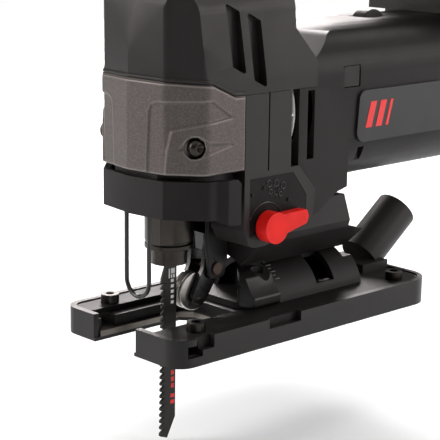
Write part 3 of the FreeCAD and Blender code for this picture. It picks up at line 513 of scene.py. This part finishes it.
def lathe(profile, place, direction, count=32):
    """Vertices and faces of a turned shape; profile is (distance along the axis, radius) pairs."""
    axis = Vector(direction).normalized()
    across = axis.orthogonal().normalized()
    other = axis.cross(across)
    verts, faces = [], []
    for distance, radius in profile:
        for k in range(count):
            turn = 2 * math.pi * k / count
            outward = across * math.cos(turn) + other * math.sin(turn)
            verts.append(Vector(place) + axis * distance + outward * radius)
    for row in range(len(profile) - 1):
        for k in range(count):
            n = (k + 1) % count
            a, b = row * count, (row + 1) * count
            faces.append((a + k, a + n, b + n, b + k))
    faces.append(tuple(range(count)))
    faces.append(tuple(range((len(profile) - 1) * count, len(profile) * count)))
    return verts, faces


def joined(parts):
    """Several vertex and face lists as one."""
    verts, faces = [], []
    for more_verts, more_faces in parts:
        start = len(verts)
        verts.extend(more_verts)
        faces.extend(tuple(start + index for index in face) for face in more_faces)
    return verts, faces


def screw_head(place, direction, radius, height):
    """Pan head with a round drive recess."""
    profile = [
        (-height, radius * 0.9),
        (0, radius),
        (height * 0.45, radius * 0.96),
        (height * 0.8, radius * 0.78),
        (height, radius * 0.5),
        (height * 0.95, radius * 0.42),
        (height * 0.2, radius * 0.36),
    ]
    return lathe(profile, place, direction)


def tube(points, radius, closed=False, count=12):
    """A round bar along a line of points."""
    points = [Vector(point) for point in points]
    verts, faces = [], []
    total = len(points)
    for index, point in enumerate(points):
        ahead = points[(index + 1) % total] if closed or index < total - 1 else point
        back = points[index - 1] if closed or index else point
        along = (ahead - back).normalized()
        across = along.cross(Vector((0.13, 0.21, 0.97))).normalized()
        other = along.cross(across)
        for k in range(count):
            turn = 2 * math.pi * k / count
            verts.append(point + (across * math.cos(turn) + other * math.sin(turn)) * radius)
    for index in range(total if closed else total - 1):
        a, b = index * count, (index + 1) % total * count
        for k in range(count):
            n = (k + 1) % count
            faces.append((a + k, a + n, b + n, b + k))
    if not closed:
        faces.append(tuple(range(count)))
        faces.append(tuple(range((total - 1) * count, total * count)))
    return verts, faces


def surface_x(node, y, z, side):
    """Where a line along X from outside first meets a CAD node, in millimetres."""
    start = Vector((side * 0.08, y * MM, z * MM))
    hit, place, *_ = NODES[node].ray_cast(start, Vector((-side, 0, 0)))
    return place.x / MM if hit else None


def make_cover_screws(materials):
    """The two pan heads in the pockets of the silver cover."""
    parts = [screw_head((side * 29.6, -65, SCREW_HEIGHT), (side, 0, 0), 4.1, 2.2) for side in (-1, 1)]
    finish = materials["steel_dark"]
    new_piece("cover_screw_heads", "tool", "steel_dark", finish, *joined(parts), stands_for=("cover_screws",))


def make_head_lip(materials):
    """Rolled lip of the black head above the silver cover."""
    inset, above = 0.25, 1.35
    path, outward = rounded_path(head_plan(-41), HEAD_CORNERS, 1.2)
    line = []
    for point, away in zip(path, outward):
        line.append((point.x - away.x * inset, point.y - away.y * inset, cover_top(point.y) + above))
    new_piece("head_lip", "tool", "housing_black", materials["housing_black"], *tube(line, 0.95))


def make_selector_marks(materials):
    """Rings and ticks moulded on the selector plate, and the round line about the lever's hub."""
    x = 33.25
    rings = [
        (-25.4, 72.1, 1.5),
        (-20.9, 71.9, 1.5),
        (-16.5, 70.2, 1.5),
        (-24.2, 68.3, 1.0),
        (-20.9, 67.6, 1.2),
        (-18.2, 66.6, 1.0),
    ]
    hub_y, hub_z, hub_line = -27, 53.5, 10.5

    def arc(y, z, radius, turns):
        return [(x, y + radius * math.cos(turn), z + radius * math.sin(turn)) for turn in turns]

    parts = []
    for y, z, radius in rings:
        circle = arc(y, z, radius, [math.pi * k / 10 for k in range(20)])
        parts.append(tube(circle, 0.24, closed=True, count=8))
        parts.append(tube([(x, y, z - radius - 0.6), (x, y, z - radius - 1.5)], 0.2, count=8))
    sweep = [math.radians(5 + 8 * k) for k in range(20)]
    parts.append(tube(arc(hub_y, hub_z, hub_line, sweep), 0.3, count=8))
    new_piece("selector_marks", "tool", "lever_black", materials["lever_black"], *joined(parts))


def make_badge_marks(materials):
    """Three slanted bars on the badge plate and on the housing opposite it."""
    verts, faces = [], []
    for side in (-1, 1):
        node = "badge_plate" if side > 0 else "motor_housing_left"
        face_x = surface_x(node, 40, 96, side)
        if face_x is None:
            continue
        for y, width in ((36, 4.2), (43, 4.2), (50, 1.8)):
            corners = [(y, 90.5), (y + width, 90.5), (y + width + 3.4, 102.5), (y + 3.4, 102.5)]
            start = len(verts)
            for lift in (0.02, 0.16):
                verts.extend((face_x + side * lift, a, b) for a, b in corners)
            faces.append(tuple(start + k for k in range(4)))
            faces.append(tuple(start + 4 + k for k in range(4)))
            for k in range(4):
                n = (k + 1) % 4
                faces.append((start + k, start + n, start + 4 + n, start + 4 + k))
    new_piece("badge_bars", "tool", "lever_red", materials["print_red"], verts, faces, smooth=False)


def make_housing_screws(materials):
    """Assembly screws in round bosses on both halves of the body."""
    spots = [
        ("head_housing", 0, 190),
        ("head_housing", 140, 186),
        ("head_housing", -30, 200),
        ("head_housing", 146, 140),
        ("motor_housing", 14, 128),
        ("motor_housing", 116, 84),
        ("motor_housing", 116, 124),
    ]
    near = 5
    bosses, heads = [], []
    for body, y, z in spots:
        for suffix in ("right", "left"):
            node = body + "_" + suffix
            middle = sum(corner.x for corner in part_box(node)) / 2
            here = 1 if middle > 0 else -1
            x = surface_x(node, y, z, here)
            steps = ((near, 0), (-near, 0), (0, near), (0, -near))
            around = [surface_x(node, y + dy, z + dz, here) for dy, dz in steps]
            if x is None or None in around or max(abs(x - other) for other in around) > 1.2:
                continue
            ring = [(0, 5.2), (0.5, 5.1), (0.8, 4.7), (0.8, 4.0), (0.05, 3.8)]
            bosses.append(lathe([(-0.6, 5.2)] + ring, (x, y, z), (here, 0, 0)))
            heads.append(screw_head((x, y, z), (here, 0, 0), 3.4, 0.75))
    if bosses:
        new_piece("screw_bosses", "tool", "housing_black", materials["housing_black"], *joined(bosses))
        new_piece("body_screws", "tool", "steel_dark", materials["steel_dark"], *joined(heads))


def make_scale_marks(materials):
    """Bevel scale along the front edge of the quadrant."""
    radius, tilt_axis = 23.02, 7
    parts = []
    for index, degrees in enumerate(range(-50, 51, 5)):
        turn = math.radians(degrees)
        reach = 3.4 if index % 2 == 0 else 2.0
        x, z = radius * math.sin(turn), tilt_axis + radius * math.cos(turn)
        parts.append(tube([(x, -5.2, z), (x, -5.2 + reach, z)], 0.22, count=8))
    new_piece("bevel_scale", "base", "casting_black", materials["print_grey"], *joined(parts))


# ------------------------------------------------------------------ stage


def add_floor():
    """Pale paper under the tool, which glows to white where it ends."""
    mesh = bpy.data.meshes.new("floor")
    low = CAD_BOX[0].z - 0.001
    size = 1.6
    corners = [(-size, -size, low), (size, -size, low), (size, size, low), (-size, size, low)]
    mesh.from_pydata(corners, [], [(0, 1, 2, 3)])
    floor = bpy.data.objects.new("floor", mesh)
    bpy.context.scene.collection.objects.link(floor)
    material, tree, shader = new_material("floor_paper")
    tint = ramp(tree, noise(tree, 3, 2), [(0.3, (0.84, 0.89, 0.90)), (0.7, (0.87, 0.92, 0.93))])
    tree.links.new(tint, shader.inputs["Base Color"])
    shader.inputs["Roughness"].default_value = 0.85
    place = add_node(tree, "ShaderNodeTexCoord")
    away = add_node(tree, "ShaderNodeVectorMath", operation="LENGTH")
    tree.links.new(place.outputs["Object"], away.inputs[0])
    glow = add_node(tree, "ShaderNodeMapRange")
    glow.inputs["From Min"].default_value = 0.9
    glow.inputs["From Max"].default_value = 1.5
    tree.links.new(away.outputs["Value"], glow.inputs["Value"])
    tree.links.new(glow.outputs["Result"], shader.inputs["Emission Strength"])
    shader.inputs["Emission Color"].default_value = (1, 1, 1, 1)
    mesh.materials.append(material)


WARM = (1, 0.94, 0.93)


def add_light(name, place, target, size, watts, colour=WARM):
    """A rectangular softbox that faces a target."""
    data = bpy.data.lights.new(name, "AREA")
    data.shape = "RECTANGLE"
    data.size, data.size_y = size
    data.energy = watts
    data.color = colour
    lamp = bpy.data.objects.new(name, data)
    bpy.context.scene.collection.objects.link(lamp)
    lamp.location = place
    lamp.rotation_euler = (Vector(target) - Vector(place)).to_track_quat("-Z", "Y").to_euler()


def add_lights():
    """Softboxes at front left, rear right, rear left and high behind, a wide sky, and a room seen white."""
    middle = (0, 0, 0.09)
    add_light("key_left", (-0.95, -1.05, 0.62), middle, (0.5, 0.7), 13)
    add_light("side_right", (1.1, 1.05, 0.55), middle, (0.5, 0.7), 10)
    add_light("rear_left", (-1.08, 0.9, 0.8), middle, (0.6, 0.4), 20)
    add_light("top_rear", (-0.2, 1.0, 1.15), middle, (0.8, 0.6), 7)
    sun = bpy.data.lights.new("sky_sun", "SUN")
    sun.energy = 2.0
    sun.angle = math.radians(110)
    sun.color = WARM
    lamp = bpy.data.objects.new("sky_sun", sun)
    bpy.context.scene.collection.objects.link(lamp)
    world = bpy.data.worlds.new("studio")
    world.use_nodes = True
    tree = world.node_tree
    seen = add_node(tree, "ShaderNodeLightPath")
    level = add_node(tree, "ShaderNodeMapRange")
    level.inputs["To Min"].default_value = 0.10
    level.inputs["To Max"].default_value = 1.0
    tree.links.new(seen.outputs["Is Camera Ray"], level.inputs["Value"])
    tree.links.new(level.outputs["Result"], tree.nodes["Background"].inputs["Strength"])
    tree.nodes["Background"].inputs["Color"].default_value = (1, 1, 1, 1)
    bpy.context.scene.world = world
    bpy.context.scene.view_settings.view_transform = "Standard"


def add_camera():
    """Front left of the tool, a little above it, with a long lens."""
    azimuth, elevation, roll = (math.radians(angle) for angle in (46.77, 13.04, 0.69))
    flat = math.cos(elevation)
    back = Vector((math.sin(azimuth) * flat, -math.cos(azimuth) * flat, math.sin(elevation)))
    level = Vector((math.cos(azimuth), math.sin(azimuth), 0))
    upward = back.cross(level)
    right = level * math.cos(roll) + upward * math.sin(roll)
    up = upward * math.cos(roll) - level * math.sin(roll)
    data = bpy.data.cameras.new("camera")
    data.lens = 122.1
    data.sensor_width = 36
    camera = bpy.data.objects.new("camera", data)
    bpy.context.scene.collection.objects.link(camera)
    camera.matrix_world = Matrix((
        (right.x, up.x, back.x, 0.48588),
        (right.y, up.y, back.y, -0.48019),
        (right.z, up.z, back.z, 0.204),
        (0, 0, 0, 1),
    ))
    bpy.context.scene.camera = camera


# ------------------------------------------------------------------ build

MATERIALS = make_materials()
dress(MATERIALS)
make_cover_face(MATERIALS)
make_print_marks(MATERIALS)
make_fan(MATERIALS)
make_cover_screws(MATERIALS)
make_head_lip(MATERIALS)
make_selector_marks(MATERIALS)
make_badge_marks(MATERIALS)
make_housing_screws(MATERIALS)
make_scale_marks(MATERIALS)
add_floor()
add_lights()
add_camera()
